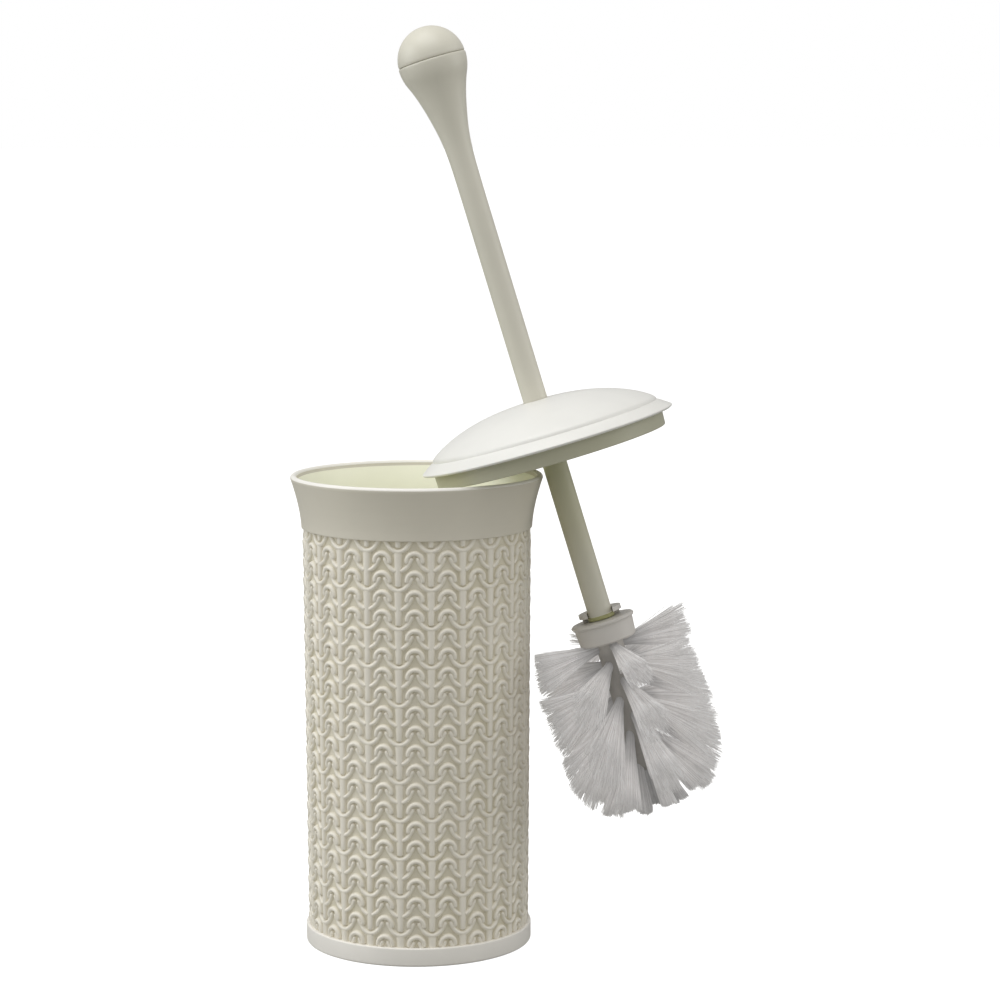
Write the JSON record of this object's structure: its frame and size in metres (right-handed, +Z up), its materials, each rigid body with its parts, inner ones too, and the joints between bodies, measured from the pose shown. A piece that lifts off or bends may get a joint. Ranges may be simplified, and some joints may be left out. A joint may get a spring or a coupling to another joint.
{
  "type": "toilet brush holder",
  "caption": "Free-standing cylindrical toilet brush canister with knit-pattern relief and a flared rim, with a ball-ended brush hung over the rim by its domed lid.",
  "frame": {"origin": "centre of the canister's flat base, on the floor", "axes": "+Z up along the canister's axis; +X towards the side over which the brush hangs; -Y towards the front, as the object is seen"},
  "size_m": [0.2057, 0.1309, 0.4356],
  "materials": {
    "canister_plastic": "moulded satin cream polypropylene with a raised knit pattern",
    "handle_plastic": "satin moulded cream polypropylene",
    "lid_plastic": "satin moulded ivory polypropylene",
    "head_plastic": "moulded white polypropylene",
    "bristle": "translucent white polypropylene filament",
    "anchor_wire": "flat galvanised wire"
  },
  "bodies": {
    "canister": {"canister_shell": "canister_plastic", "base_cap": "canister_plastic"},
    "brush": {"handle_stem": "handle_plastic", "handle_cap": "handle_plastic"},
    "lid": {"lid": "lid_plastic"},
    "head": {"brush_core": "head_plastic", "tuft_ring_1": "bristle", "tuft_ring_2": "bristle", "tuft_ring_3": "bristle", "tuft_ring_4": "bristle", "tuft_ring_5": "bristle", "tuft_ring_6": "bristle", "tuft_ring_7": "bristle", "tuft_end_ring": "bristle", "tuft_end_centre": "bristle", "tuft_anchors": "anchor_wire"}
  },
  "joints": [
    {"name": "brush_lift", "type": "slide", "parent": "canister", "child": "brush", "axis": [0.1736, 0, 0.9848], "range_m": [0, 0.28]},
    {"name": "lid_turn", "type": "hinge", "parent": "brush", "child": "lid", "pos_m": [0.05922, -0.00961, 0.25139], "axis": [-0.2776, 0.0419, 0.9598], "continuous": true},
    {"name": "head_release", "type": "slide", "parent": "brush", "child": "head", "axis": [0.0122, 0.9991, -0.0401], "range_m": [0, 0.024]}
  ]
}
